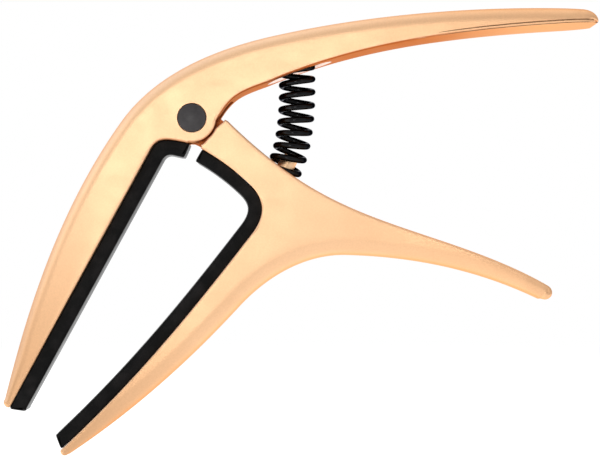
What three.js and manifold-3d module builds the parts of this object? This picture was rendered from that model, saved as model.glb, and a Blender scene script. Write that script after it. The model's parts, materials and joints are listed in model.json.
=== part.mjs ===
// Spring-loaded guitar capo: an upper lever (fret arm and handle) pinned to a lower lever (neck jaw
// and handle), a rubber pad in each jaw, a hinge pin with two caps, a bush and two thrust washers,
// and a return spring between the handles. Millimetres. +X points to the handle tips, +Z up and +Y
// along the guitar's neck. Shapes are drawn about the hinge pin's centre in the XZ plane, then the
// whole capo is moved so that the origin is the centre of the fret pad's working face.
import * as THREE from 'three';
import { mergeVertices } from 'three/addons/utils/BufferGeometryUtils.js';
import Module from 'manifold-3d';

const wasm = await Module();
wasm.setup();

// Driving dimensions
const leverHalf = 7; // half of the levers' width at the hinge
const jawTipHalf = 5; // half of the width at the fret arm's tip
const neckTipHalf = 5.5; // half of the width at the neck jaw's tip
const paddleHalf = 10; // half of the upper handle's flared width
const lowerPaddleHalf = 8; // half of the lower handle's flared width
const upperFlare = [2, 82]; // where each handle starts and stops widening, along X
const lowerFlare = [36, 62];
const upperRound = 2.4; // rounding along the upper lever's back edges
const lowerRound = 3; // rounding along the lower lever's back edges
const innerRound = 0.5; // rounding along the levers' inner edges
const hubRadius = 4.9; // clevis cheeks around the pin
const slotHalf = 3.8; // half of the clevis slot's width
const slotRadius = 5.7; // slot floor around the pin
const tongueHalf = 3; // half of the tongue's width
const tongueRadius = 4.6;
const pinRadius = 2;
const pinHalf = 6; // half of the pin's length
const boreClearance = 0.06; // radial clearance of the running fits
const bushRadius = 2.9;
const capRadius = 2.84;
const capSeatRadius = 3; // counterbore that holds a pin cap
const capDome = 0.75; // how far a cap stands out of the cheek
const washerRadius = 4.3;
const washerThickness = 0.5;
const fretPadThickness = 3;
const neckPadThickness = 2.8;
const padTipSlant = 1.1; // how far a pad's working face stops short of its tip
const padHalf = 4.6; // half of both pads' width
const seatGap = 0.15; // bond line between a pad and its lever
const ribHalf = 1.8; // half width of a pad's retaining rib
const ribDepth = 1.3;
const grooveHalf = 2.1;
const grooveDepth = 1.6;
const fretGroove = [0.22, 0.93]; // shares of the seat where the groove starts and ends
const fretRib = [0.23, 0.92];
const neckGroove = [0.22, 0.96];
const neckRib = [0.235, 0.945];
const upperTipShares = [0.97, 0.982, 0.991, 0.997, 1]; // where the handles' round ends are cut into rungs
const lowerTipShares = [0.93, 0.965, 0.985, 1];
const upperEndShare = 0.42; // a handle's width at its very end, as a share of its full width
const lowerEndShare = 0.55;
const hollowRadius = 5.2; // hollow of the neck block, about the pin
const hollowStartRise = 0.45;
const hollowEndRise = 1.5;
const hollowStart = -71; // degrees, where it leaves the neck pad's end
const hollowOpens = -26;
const hollowEnd = -3.3;
const springMeanRadius = 3.12;
const wireRadius = 0.63;
const springTurns = 9.35;
const springEndGap = 0.25; // from the wire to each seat
const springPhase = -1.9; // angle at which the wire's lower end starts
const endClosing = 0.05; // how strongly the turns close up at the upper end
const postRadius = 1.9; // posts that centre the spring's two ends
const postTipRadius = 1.6;
const pocketLength = 11.4; // spring pocket in the upper handle
const pocketMiddle = 21.6; // how far from the pin, along the handle
const pocketHalf = 4.3;
const pocketFloor = 13.3; // height of the pocket's floor above the pin
const lowerPostHeight = 4.2;
const upperPostHeight = 2.4;
const springSeatRadius = 3.95; // round recess in the lower lever, square to the spring
const springSeatClear = 6; // how far its cutter reaches past the surface
const postRoot = 0.6; // how deep a post is rooted
const roundSegments = 40;

const point = (x, z) => new THREE.Vector2(x, z);
const bezier = (a, b, c, d) => new THREE.CubicBezierCurve(point(...a), point(...b), point(...c), point(...d));
const line = (a, b) => new THREE.LineCurve(point(...a), point(...b));
const smooth = (x, low, high) => THREE.MathUtils.smoothstep(x, low, high);

// Outlines of the upper lever, from the fret arm's tip to the handle's tip
const armBack = bezier([-37.9, -57.2], [-33.4, -38.1], [-26.5, -17.8], [-14.3, -0.7]);
const shoulderBack = bezier([-14.3, -0.7], [-7, 9.5], [5.6, 14.3], [17.6, 16.8]);
const handleBack = bezier([17.6, 16.8], [37.3, 21.1], [60.2, 22.6], [81.2, 21.6]);
const fretSeat = line([-36.95, -58.65], [-8.3, -6.3]);
const seatCorner = bezier([-8.3, -6.3], [-6.9, -3.8], [-5, -4.1], [-0.9, -5]);
const throat = bezier([4.87, -0.6], [7.9, 4.6], [9.5, 5], [15.2, 7.1]);
const handleUnder = bezier([15.2, 7.1], [35.3, 15.7], [57.8, 17.9], [81.2, 19]);

// Outlines of the lower lever, from the neck jaw's tip to the handle's tip
const jawBack = bezier([-25.3, -67.7], [-12.1, -59], [-0.7, -48.6], [9.6, -37.4]);
const crotch = bezier([9.6, -37.4], [15.1, -31.6], [22.6, -27.2], [30.7, -27.3]);
const lowerUnder = bezier([30.7, -27.3], [43.8, -27.6], [57.4, -30], [71, -36.7]);
const neckSeat = bezier([-26.6, -66.8], [-10.9, -52.1], [-0.6, -39.6], [12.1, -23.1]);
const neckCorner = bezier([12.1, -23.1], [14.9, -19.4], [14.6, -16.2], [11.6, -13.3]);
const neckTop = bezier([11.6, -13.3], [8.9, -10.7], [5.6, -8.2], [1.8, -6.1]);
const shoulderTop = bezier([6.95, -0.4], [12.2, -5.6], [18.7, -11.1], [25.6, -14.9]);
const bridgeEnd = 0.72; // share of the shoulder's top that belongs to the bridge
const lowerTop = bezier([25.6, -14.9], [40.1, -23], [56.6, -24.9], [72.5, -34.3]);

// The spring's centre line, from the lower lever's top to the pocket's floor in the handle
const springAxis = bezier([17.8, -11.3], [21.2, -5.4], [21.35, 4.2], [20.9, pocketFloor]);

// ---- geometry helpers ----

function material(name, color, roughness, metalness) {
  return new THREE.MeshStandardMaterial({ name, color, roughness, metalness });
}

function solidOf(geometry) {
  const bare = geometry.clone();
  bare.deleteAttribute('normal');
  bare.deleteAttribute('uv');
  const merged = mergeVertices(bare, 1e-4);
  return new wasm.Manifold(new wasm.Mesh({
    numProp: 3,
    vertProperties: new Float32Array(merged.attributes.position.array),
    triVerts: new Uint32Array(merged.index.array),
  }));
}

function geometryOf(solid) {
  const mesh = solid.getMesh();
  const geometry = new THREE.BufferGeometry();
  geometry.setAttribute('position', new THREE.BufferAttribute(new Float32Array(mesh.vertProperties), 3));
  geometry.setIndex(new THREE.BufferAttribute(new Uint32Array(mesh.triVerts), 1));
  geometry.computeVertexNormals();
  return geometry;
}

// A flat outline in the XZ plane, given depth from -half to +half along Y
function plate(points, half) {
  const shape = new THREE.Shape(points);
  const geometry = new THREE.ExtrudeGeometry(shape, { depth: 2 * half, bevelEnabled: false });
  geometry.rotateX(Math.PI / 2);
  geometry.translate(0, half, 0);
  return geometry;
}

// A round bar along Y about the pin, from y = low to y = high
function barOnPin(radius, low, high) {
  const geometry = new THREE.CylinderGeometry(radius, radius, high - low, roundSegments);
  geometry.translate(0, (low + high) / 2, 0);
  return geometry;
}

// A ring along Y about the pin
function ringOnPin(inner, outer, low, high) {
  const profile = [[inner, low], [outer, low], [outer, high], [inner, high], [inner, low]];
  return new THREE.LatheGeometry(profile.map((p) => point(...p)), roundSegments);
}

// Points of a chain of curves, with the shared ends kept once
function chain(...stretches) {
  const points = [];
  for (const [curve, steps] of stretches) {
    const part = curve.getPoints(steps);
    points.push(...(points.length ? part.slice(1) : part));
  }
  return points;
}

// The chain moved sideways: positive distances go to the right of its direction
function offset(points, distance) {
  return points.map((p, i) => {
    const before = points[Math.max(i - 1, 0)];
    const after = points[Math.min(i + 1, points.length - 1)];
    const along = after.clone().sub(before).normalize();
    return point(p.x + along.y * distance, p.y - along.x * distance);
  });
}

// A strip between two sideways distances from a chain of points
function strip(points, near, far, half) {
  return plate([...offset(points, near), ...offset(points, far).reverse()], half);
}

// Rungs between two curves, each taken from its own start to its own end value
function rungs(back, backFrom, backTo, inner, innerFrom, innerTo, steps) {
  const list = [];
  for (let i = 0; i < steps; i++) {
    const t = i / steps;
    const backAt = THREE.MathUtils.lerp(backFrom, backTo, t);
    const innerAt = THREE.MathUtils.lerp(innerFrom, innerTo, t);
    list.push({ back: back.getPoint(backAt), inner: inner.getPoint(innerAt) });
  }
  return list;
}

// The outline of one rung's section, as [y, share of the rung]: a bar with two round corners on its
// back and two small ones on its inner side, whose inner side may bulge by belly
function sectionOf(half, thickness, round, belly) {
  const big = Math.min(round, 0.8 * thickness, 0.8 * half);
  const small = Math.min(innerRound, 0.15 * thickness);
  const corners = [
    { y: -half + small, t: small, r: small, from: 180, steps: 2, turn: 1 },
    { y: -half + big, t: thickness - big, r: big, from: 180, steps: 6, turn: -1 },
    { y: half - big, t: thickness - big, r: big, from: 90, steps: 6, turn: -1 },
    { y: half - small, t: small, r: small, from: 0, steps: 2, turn: -1 },
  ];
  const points = [];
  for (const [i, c] of corners.entries()) {
    const start = i === 0 ? 270 : c.from;
    for (let k = 0; k <= c.steps; k++) {
      const angle = THREE.MathUtils.degToRad(start - (90 * k) / c.steps);
      points.push([c.y + c.r * Math.cos(angle), c.t + c.r * Math.sin(angle)]);
    }
  }
  points.push([0, -belly]);
  return points;
}

// A bar carried along its rungs, with its back edges rounded by round. width(p) gives half of its
// width at a point of its back, and belly(x) how far its inner side bulges
function bar(rungList, round, width, belly) {
  const rings = rungList.map(({ back, inner }) => {
    const across = back.clone().sub(inner);
    const thickness = across.length();
    across.normalize();
    return sectionOf(width(back), thickness, round, belly(back.x)).map(([y, t]) => [
      inner.x + across.x * t, y, inner.y + across.y * t,
    ]);
  });
  const sides = rings[0].length;
  const corners = rings.flat(2);
  const index = [];
  for (let i = 0; i + 1 < rings.length; i++) {
    for (let k = 0; k < sides; k++) {
      const a = i * sides + k;
      const b = i * sides + ((k + 1) % sides);
      index.push(a, a + sides, b, b, a + sides, b + sides);
    }
  }
  const last = (rings.length - 1) * sides;
  for (let k = 1; k + 1 < sides; k++) {
    index.push(0, k, k + 1);
    index.push(last, last + k + 1, last + k);
  }
  const geometry = new THREE.BufferGeometry();
  geometry.setAttribute('position', new THREE.Float32BufferAttribute(corners, 3));
  geometry.setIndex(index);
  return geometry;
}

// ---- upper lever ----

function hubArc() {
  const arc = new THREE.EllipseCurve(0, 0, hubRadius, hubRadius);
  arc.aStartAngle = THREE.MathUtils.degToRad(-100.2);
  arc.aEndAngle = THREE.MathUtils.degToRad(-7);
  return arc;
}

function upperRungs() {
  const list = [
    ...rungs(armBack, 0, 1, fretSeat, 0, 1, 14),
    ...rungs(shoulderBack, 0, 0.3, seatCorner, 0, 1, 8),
    ...rungs(shoulderBack, 0.3, 0.72, hubArc(), 0, 1, 10),
    ...rungs(shoulderBack, 0.72, 1, throat, 0, 1, 8),
    ...rungs(handleBack, 0, upperTipShares[0], handleUnder, 0, upperTipShares[0], 18),
  ];
  for (const t of upperTipShares) {
    list.push({ back: handleBack.getPoint(t), inner: handleUnder.getPoint(t) });
  }
  return list;
}

// Share of the full width left in a handle's rounded end, from 1 where it starts to endShare at its tip
function roundedEnd(endShare, into) {
  return endShare + (1 - endShare) * Math.sqrt(1 - into * into);
}

// Half width: narrow at the arm's tip, full at the hinge, flared at the handle and round at its end
function upperWidth(p) {
  const arm = THREE.MathUtils.lerp(jawTipHalf, leverHalf, smooth(p.x, -38, -16));
  const flare = (paddleHalf - leverHalf) * smooth(p.x, ...upperFlare);
  const end = handleBack.getPoint(1).x;
  const cornerLength = 7;
  const into = THREE.MathUtils.clamp((p.x - (end - cornerLength)) / cornerLength, 0, 0.985);
  return (p.x < 0 ? arm : leverHalf + flare) * roundedEnd(upperEndShare, into);
}

function upperBelly(x) {
  return 0.4 * smooth(x, 34, 52) * (1 - smooth(x, 72, 80));
}

// Stadium-shaped pocket that takes the spring's upper end
function pocketCutter() {
  const reach = pocketLength / 2 - pocketHalf;
  const shape = new THREE.Shape();
  shape.absarc(pocketMiddle + reach, 0, pocketHalf, -Math.PI / 2, Math.PI / 2, false);
  shape.absarc(pocketMiddle - reach, 0, pocketHalf, Math.PI / 2, (3 * Math.PI) / 2, false);
  const settings = { depth: pocketFloor, bevelEnabled: false, curveSegments: 10 };
  const geometry = new THREE.ExtrudeGeometry(shape, settings);
  return solidOf(geometry);
}

// Tapered round bar on the spring's centre line at its lower end (t = 0) or upper end (t = 1), between
// two heights measured into the spring
function roundOnSpring(t, rootRadius, tipRadius, low, high) {
  const root = springAxis.getPoint(t);
  const into = springAxis.getTangent(t).multiplyScalar(t === 0 ? 1 : -1);
  const geometry = new THREE.CylinderGeometry(tipRadius, rootRadius, high - low, roundSegments);
  geometry.translate(0, (low + high) / 2, 0);
  geometry.rotateX(Math.PI / 2);
  geometry.rotateY(Math.atan2(into.x, into.y));
  geometry.translate(root.x, 0, root.y);
  return solidOf(geometry);
}

// Post inside an end of the spring, rooted a little way into its lever
function springPost(t, height) {
  return roundOnSpring(t, postRadius, postTipRadius, -postRoot, height);
}

function slotCutter() {
  const disc = solidOf(barOnPin(slotRadius, -slotHalf, slotHalf));
  const mouth = [[-1.2, -3], [0, 0], [3.6, 3.7], [13, 3.7], [13, -14], [-1.2, -14]];
  return disc.add(solidOf(plate(mouth.map((p) => point(...p)), slotHalf)));
}

function pinBore() {
  return solidOf(barOnPin(pinRadius + boreClearance, -2 * leverHalf, 2 * leverHalf));
}

function capSeats() {
  const near = solidOf(barOnPin(capSeatRadius, -2 * leverHalf, -pinHalf));
  return near.add(solidOf(barOnPin(capSeatRadius, pinHalf, 2 * leverHalf)));
}

function fretRibPoints([from, to]) {
  return [fretSeat.getPoint(from), fretSeat.getPoint(to)];
}

function upperLever() {
  let body = solidOf(bar(upperRungs(), upperRound, upperWidth, upperBelly));
  body = body.subtract(slotCutter()).subtract(pinBore()).subtract(capSeats()).subtract(pocketCutter());
  body = body.subtract(solidOf(strip(fretRibPoints(fretGroove), -grooveDepth, 1, grooveHalf)));
  return geometryOf(body.add(springPost(1, upperPostHeight)));
}

// ---- lower lever ----

function lowerRungs() {
  const across = new THREE.LineCurve(neckSeat.getPoint(1), shoulderTop.getPoint(bridgeEnd));
  const list = [
    ...rungs(jawBack, 0, 1, neckSeat, 0, 1, 16),
    ...rungs(crotch, 0, 0.6, across, 0, 1, 8),
    ...rungs(crotch, 0.6, 1, shoulderTop, bridgeEnd, 1, 5),
    ...rungs(lowerUnder, 0, lowerTipShares[0], lowerTop, 0, lowerTipShares[0], 16),
  ];
  for (const t of lowerTipShares) {
    list.push({ back: lowerUnder.getPoint(t), inner: lowerTop.getPoint(t) });
  }
  return list;
}

function lowerWidth(p) {
  const jaw = THREE.MathUtils.lerp(neckTipHalf, leverHalf, smooth(p.x, -26, 4));
  const flare = (lowerPaddleHalf - leverHalf) * smooth(p.x, ...lowerFlare);
  const end = lowerUnder.getPoint(1).x;
  const cornerLength = 5;
  const into = THREE.MathUtils.clamp((p.x - (end - cornerLength)) / cornerLength, 0, 0.98);
  return (p.x < 6 ? jaw : leverHalf + flare) * roundedEnd(lowerEndShare, into);
}

// The neck block's hollow beside the hub. Its radius about the pin eases in from the pad's end, runs at
// an even gap and opens out along the throat, so that it clears the hub through the whole squeeze
function hubHollow(steps) {
  const points = [];
  for (let i = 0; i <= steps; i++) {
    const degrees = THREE.MathUtils.lerp(hollowStart, hollowEnd, i / steps);
    const opening = THREE.MathUtils.clamp((degrees - hollowOpens) / (hollowEnd - hollowOpens), 0, 1) ** 1.6;
    const closing = 1 - smooth(degrees, hollowStart, hollowStart / 1.5);
    const radius = hollowRadius + hollowStartRise * closing + hollowEndRise * opening;
    const angle = THREE.MathUtils.degToRad(degrees);
    points.push(point(radius * Math.cos(angle), radius * Math.sin(angle)));
  }
  return points;
}

// The bridge from the crotch up to the hinge, as wide as the lever
function bridge() {
  const root = [[20.5, -19], [16, -24]];
  const outline = [...chain([neckCorner, 10], [neckTop, 8]), ...hubHollow(14)];
  for (let i = 1; i <= 10; i++) outline.push(shoulderTop.getPoint((bridgeEnd * i) / 10));
  return solidOf(plate([...outline, ...root.map((p) => point(...p))], leverHalf));
}

// The tongue between the clevis cheeks, with its round end on the pin
function tongue() {
  const disc = solidOf(barOnPin(tongueRadius, -tongueHalf, tongueHalf));
  const neck = [[-0.9, -4.5], [2.2, -5.9], [9, -7], [8, -2], [4.5, 0.9]];
  return disc.add(solidOf(plate(neck.map((p) => point(...p)), tongueHalf)));
}

// From the hinge end to the tip, so that the jaw's gap is on the right
function neckRibPoints([from, to]) {
  const points = [];
  for (let i = 0; i <= 10; i++) {
    points.push(neckSeat.getPoint(THREE.MathUtils.lerp(to, from, i / 10)));
  }
  return points;
}

function lowerLever() {
  const lever = solidOf(bar(lowerRungs().reverse(), lowerRound, lowerWidth, () => 0));
  let body = lever.add(bridge()).add(tongue());
  body = body.subtract(solidOf(barOnPin(bushRadius + boreClearance, -leverHalf, leverHalf)));
  body = body.subtract(solidOf(strip(neckRibPoints(neckGroove), -grooveDepth, 1, grooveHalf)));
  body = body.subtract(roundOnSpring(0, springSeatRadius, springSeatRadius, 0, springSeatClear));
  body = body.add(springPost(0, lowerPostHeight));
  return geometryOf(body);
}

// ---- pads ----

// A pad lies along its seat, from the seat's first point to its last, and its rib fills the lever's
// groove. Its working face stops short at the jaw's tip, which is the end given by tipIndex
function pad(seat, thickness, ribPoints, tipIndex) {
  const face = offset(seat, thickness);
  const next = face[tipIndex === 0 ? 1 : tipIndex - 1];
  const inward = next.clone().sub(face[tipIndex]).setLength(padTipSlant);
  face[tipIndex].add(inward);
  const body = solidOf(plate([...offset(seat, seatGap), ...face.reverse()], padHalf));
  const rib = solidOf(strip(ribPoints, -ribDepth, 1, ribHalf));
  return geometryOf(body.add(rib));
}

function fretPad() {
  const seat = [fretSeat.getPoint(0.005), ...seatCorner.getPoints(8)];
  return pad(seat, fretPadThickness, fretRibPoints(fretRib), 0);
}

function neckPad() {
  const seat = chain([neckSeat, 16], [neckCorner, 10], [neckTop, 8]).reverse();
  return pad(seat, neckPadThickness, neckRibPoints(neckRib), seat.length - 1);
}

// ---- hinge ----

// Domed cap pressed into a cheek's counterbore; side is -1 at the front and +1 at the back
function pinCap(side) {
  const inside = pinHalf + 0.1;
  const profile = [point(0, inside), point(capRadius, inside), point(capRadius, leverHalf)];
  for (let i = 1; i <= 8; i++) {
    const angle = (i / 8) * (Math.PI / 2);
    profile.push(point(capRadius * Math.cos(angle), leverHalf + capDome * Math.sin(angle)));
  }
  profile[profile.length - 1].x = 0;
  const geometry = new THREE.LatheGeometry(profile, roundSegments);
  if (side < 0) geometry.rotateX(Math.PI);
  return geometry;
}

function washer(side) {
  const middle = (side * (tongueHalf + slotHalf)) / 2;
  return ringOnPin(pinRadius + 0.1, washerRadius, middle - washerThickness / 2, middle + washerThickness / 2);
}

// ---- return spring ----

// A right-handed helix about the spring's centre line, evenly wound but for its closed upper end
class CoilCurve extends THREE.Curve {
  getPoint(t) {
    const endShare = (wireRadius + springEndGap) / springAxis.getLength();
    const along01 = (1 + endClosing) * t - endClosing * t ** 10;
    const share = endShare + (1 - 2 * endShare) * along01;
    const centre = springAxis.getPointAt(share);
    const along = springAxis.getTangentAt(share);
    const turn = springPhase + 2 * Math.PI * springTurns * t;
    const across = springMeanRadius * Math.cos(turn);
    const deep = springMeanRadius * Math.sin(turn);
    return new THREE.Vector3(centre.x + across * along.y, deep, centre.y - across * along.x);
  }
}

function returnSpring() {
  const section = new THREE.Shape();
  section.absarc(0, 0, wireRadius, 0, 2 * Math.PI, false);
  return new THREE.ExtrudeGeometry(section, {
    steps: Math.round(springTurns * 12), curveSegments: 4, extrudePath: new CoilCurve(), bevelEnabled: false,
  });
}

// ---- assembly ----

const anodised = material('anodised_aluminium', 0xf2cfa3, 0.38, 0.7);
const rubber = material('pad_rubber', 0x17171a, 0.8, 0);
const blackPlastic = material('cap_plastic', 0x2a2a2c, 0.5, 0);
const pinSteel = material('pin_steel', 0x9a9a9e, 0.3, 1);
const bronze = material('bush_bronze', 0xa9793f, 0.4, 1);
const washerPlastic = material('washer_nylon', 0xd8d6cf, 0.6, 0);
const springSteel = material('spring_steel', 0x141416, 0.25, 0.8);

const nodes = {
  upper_lever: [upperLever(), anodised],
  lower_lever: [lowerLever(), anodised],
  fret_pad: [fretPad(), rubber],
  neck_pad: [neckPad(), rubber],
  hinge_pin: [barOnPin(pinRadius, -pinHalf, pinHalf), pinSteel],
  pin_cap_front: [pinCap(-1), blackPlastic],
  pin_cap_rear: [pinCap(1), blackPlastic],
  hinge_bush: [ringOnPin(pinRadius + boreClearance, bushRadius, -tongueHalf, tongueHalf), bronze],
  thrust_washer_front: [washer(-1), washerPlastic],
  thrust_washer_rear: [washer(1), washerPlastic],
  return_spring: [returnSpring(), springSteel],
};

const capo = new THREE.Group();
for (const [name, [geometry, look]] of Object.entries(nodes)) {
  const mesh = new THREE.Mesh(geometry, look);
  mesh.name = name;
  capo.add(mesh);
}
const padMiddle = fretSeat.getPoint(0.5);
const padNormal = fretSeat.getTangent(0.5);
capo.position.set(
  -(padMiddle.x + padNormal.y * fretPadThickness), 0, -(padMiddle.y - padNormal.x * fretPadThickness),
);

export default capo;
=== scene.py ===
import json
import math
import bmesh
import bpy
import numpy as np
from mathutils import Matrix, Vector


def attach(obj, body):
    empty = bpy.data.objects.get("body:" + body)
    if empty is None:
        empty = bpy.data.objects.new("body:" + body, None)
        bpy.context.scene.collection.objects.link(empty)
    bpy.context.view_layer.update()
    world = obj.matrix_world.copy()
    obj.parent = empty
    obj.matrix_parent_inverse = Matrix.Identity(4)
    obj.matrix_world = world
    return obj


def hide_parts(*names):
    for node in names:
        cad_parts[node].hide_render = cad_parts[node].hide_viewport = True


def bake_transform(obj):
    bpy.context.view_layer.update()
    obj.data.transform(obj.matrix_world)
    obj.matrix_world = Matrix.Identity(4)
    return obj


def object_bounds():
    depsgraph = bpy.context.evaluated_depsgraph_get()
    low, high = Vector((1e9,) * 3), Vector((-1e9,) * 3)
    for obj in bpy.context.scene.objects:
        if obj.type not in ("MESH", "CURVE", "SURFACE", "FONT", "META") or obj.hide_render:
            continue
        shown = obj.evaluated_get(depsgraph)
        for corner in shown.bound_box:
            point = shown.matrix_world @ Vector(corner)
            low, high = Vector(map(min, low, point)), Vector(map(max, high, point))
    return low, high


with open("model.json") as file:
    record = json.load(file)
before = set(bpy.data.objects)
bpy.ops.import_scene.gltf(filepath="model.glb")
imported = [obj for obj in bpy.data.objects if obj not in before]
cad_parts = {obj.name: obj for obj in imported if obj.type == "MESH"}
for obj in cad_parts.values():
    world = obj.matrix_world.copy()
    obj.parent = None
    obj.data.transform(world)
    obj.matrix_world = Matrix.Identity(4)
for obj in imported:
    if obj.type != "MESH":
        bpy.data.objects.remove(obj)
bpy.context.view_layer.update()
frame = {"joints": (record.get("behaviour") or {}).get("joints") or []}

print("frame loaded")

mm = 0.001
pin = np.array(frame["joints"][0]["pos_m"])  # centre of the hinge pin, the place all outlines are drawn about

# widths and outlines of both levers, in mm about the pin, x towards the handle tips and z up
leverSizes = dict(half=7.0, upperRound=2.5, lowerRound=3.1, innerRound=0.45, crown=0.22, belly=0.4)
# half widths: tip at the jaw's end, full after the narrow range, paddle after the flare range; past
# endFrom the plan is rounded off over endRun, towards endShare of its width
upperWidths = dict(tip=5.0, narrow=(-38, -16), split=0, paddle=10.0, flare=(2, 82),
                   endFrom=74.2, endRun=7.6, endMost=0.995, endShare=0.42)
lowerWidths = dict(tip=5.5, narrow=(-26, 4), split=6, paddle=8.0, flare=(36, 62),
                   endFrom=66.3, endRun=6.5, endMost=0.99, endShare=0.55)

armBack = [(-37.9, -57.2), (-33.4, -38.1), (-26.5, -17.8), (-14.3, -0.7)]
shoulderBack = [(-14.3, -0.7), (-7.0, 9.5), (5.6, 14.3), (17.6, 16.8)]
handleBack = [(17.6, 16.8), (37.3, 21.1), (60.2, 22.6), (81.2, 21.6)]
fretSeat = [(-36.95, -58.65), (-27.4, -41.2), (-17.85, -23.75), (-8.3, -6.3)]
seatCorner = [(-8.3, -6.3), (-6.9, -3.8), (-5.0, -4.1), (-0.9, -5.0)]
throat = [(4.87, -0.6), (7.9, 4.6), (9.5, 5.0), (15.2, 7.1)]
handleUnder = [(15.2, 7.1), (35.3, 15.7), (57.8, 17.9), (81.2, 19.0)]

jawBack = [(-25.3, -67.7), (-12.1, -59.0), (-0.7, -48.6), (9.6, -37.4)]
crotch = [(9.6, -37.4), (15.1, -31.6), (22.6, -27.2), (30.7, -27.3)]
lowerUnder = [(30.7, -27.3), (43.8, -27.6), (57.4, -30.0), (71.0, -36.7)]
neckSeat = [(-26.6, -66.8), (-10.9, -52.1), (-0.6, -39.6), (12.1, -23.1)]
neckCorner = [(12.1, -23.1), (14.9, -19.4), (14.6, -16.2), (11.6, -13.3)]
neckTop = [(11.6, -13.3), (8.9, -10.7), (5.6, -8.2), (1.8, -6.1)]
shoulderTop = [(6.95, -0.4), (12.2, -5.6), (18.7, -11.1), (25.6, -14.9)]
lowerTop = [(25.6, -14.9), (40.1, -23.0), (56.6, -24.9), (72.5, -34.3)]


# a cubic curve: weighted sum of its four points, the weights being those of (1-t + t) cubed; crowd
# above 1 draws the steps together towards the end, as 1 - (1 - t)^crowd
def curve(points, steps, start=0.0, end=1.0, crowd=1.0):
    p = np.array(points, float)
    t = start + (end - start) * (1 - (1 - np.linspace(0, 1, steps + 1)[:, None]) ** crowd)
    return (1 - t) ** 3 * p[0] + 3 * (1 - t) ** 2 * t * p[1] + 3 * (1 - t) * t ** 2 * p[2] + t ** 3 * p[3]


# points of a circle about the pin, from one angle to another in degrees
def arc(radius, start, end, steps):
    a = np.radians(np.linspace(start, end, steps + 1))
    return np.stack([radius * np.cos(a), radius * np.sin(a)], 1)


# end to end, with each shared point kept once
def chain(*parts):
    return np.concatenate([parts[0]] + [p[1:] for p in parts[1:]])


# 0 below low, 1 above high, 3t^2 - 2t^3 between
def smooth(x, low, high):
    t = np.clip((x - low) / (high - low), 0, 1)
    return t * t * (3 - 2 * t)


# each row over its own length
def unit(rows):
    return rows / np.linalg.norm(rows, axis=1, keepdims=True)


# unit vectors along a path, from each point's two neighbours
def heading(path):
    return unit(np.gradient(path, axis=0))


# a quarter turn clockwise, (x, z) to (z, -x): the right-hand side of the way a path runs
def rightOf(along):
    return np.stack([along[:, 1], -along[:, 0]], 1)


# a path moved to the right of the way it runs
def beside(path, distance):
    return path + distance * rightOf(heading(path))


# unit vectors pointing out of a closed outline that runs anticlockwise, from the two neighbours
def outward(loop):
    return rightOf(unit(np.roll(loop, -1, 0) - np.roll(loop, 1, 0)))


# unit circles across a path: cos(a) first + sin(a) second, first being side less its part along the
# way, and second the way crossed with first
def ringsAcross(way, side, count):
    first = unit(side - (side * way).sum(1, keepdims=True) * way)
    second = np.cross(way, first)
    a = np.linspace(0, 2 * math.pi, count, endpoint=False)[None, :, None]
    return np.cos(a) * first[:, None] + np.sin(a) * second[:, None]


# quads of a rows x columns grid, joined round along the columns when closed
def gridFaces(rows, columns, closed=False):
    index = np.arange(rows * columns).reshape(rows, columns)
    if closed:
        index = np.concatenate([index, index[:, :1]], 1)
    quads = np.stack([index[:-1, :-1], index[1:, :-1], index[1:, 1:], index[:-1, 1:]], -1)
    return quads.reshape(-1, 4)


# an object from blocks of (vertices in mm about the pin, faces); doubles merged, normals outwards
def makePiece(name, blocks, sharpAngle=32, weld=1e-6):
    verts = np.concatenate([b[0].reshape(-1, 3) for b in blocks])
    starts = np.cumsum([0] + [len(b[0].reshape(-1, 3)) for b in blocks[:-1]])
    faces = [f for (b, s) in zip(blocks, starts) for f in (b[1] + s).tolist()]
    mesh = bpy.data.meshes.new(name)
    mesh.from_pydata((verts * mm + pin).tolist(), [], faces)
    work = bmesh.new()
    work.from_mesh(mesh)
    bmesh.ops.remove_doubles(work, verts=work.verts, dist=weld)
    bmesh.ops.recalc_face_normals(work, faces=work.faces)
    work.to_mesh(mesh)
    work.free()
    finishMesh(mesh, sharpAngle)
    return placed(name, mesh)


def placed(name, data):
    thing = bpy.data.objects.new(name, data)
    bpy.context.scene.collection.objects.link(thing)
    return thing


# smooth shading, kept crisp where two faces meet at more than the sharp angle
def finishMesh(mesh, sharpAngle):
    mesh.polygons.foreach_set("use_smooth", np.ones(len(mesh.polygons), bool))
    mesh.set_sharp_from_angle(angle=math.radians(sharpAngle))
    mesh.update()


# a plate whose edge is a rounded profile carried round a closed outline. The profile goes from the
# front face over a quarter circle, across the wall with a bulge of (1 - s^2), and over to the back
def edgeBand(loop, radius, halfAt, bulge, roundSteps=8, wallSteps=12):
    n = outward(loop)
    inner = loop - n * radius[:, None]
    half = halfAt(inner)
    b = np.linspace(0, math.pi / 2, roundSteps + 1)[:, None]
    s = np.linspace(-1, 1, wallSteps + 1)[1:-1, None]
    inset = np.concatenate([radius * (1 - np.sin(b)), 0 * s * radius, (radius * (1 - np.sin(b)))[::-1]])
    front = -half + radius * (1 - np.cos(b))
    y = np.concatenate([front, s * (half - radius), -front[::-1]])
    push = np.concatenate([0 * b * radius, bulge * (1 - s ** 2), 0 * b * radius])
    flat = loop - n * (inset - push)[..., None]
    return np.stack([flat[..., 0], y, flat[..., 1]], -1)


# a face between two rows of points: straight rungs, each cut into equal steps, at y = side * half
def faceGrid(rowA, rowB, halfAt, side, steps):
    w = np.linspace(0, 1, steps + 1)[None, :, None]
    flat = rowA[:, None] * (1 - w) + rowB[:, None] * w
    y = side * halfAt(flat.reshape(-1, 2)).reshape(flat.shape[:2])
    return np.stack([flat[..., 0], y, flat[..., 1]], -1)


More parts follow.
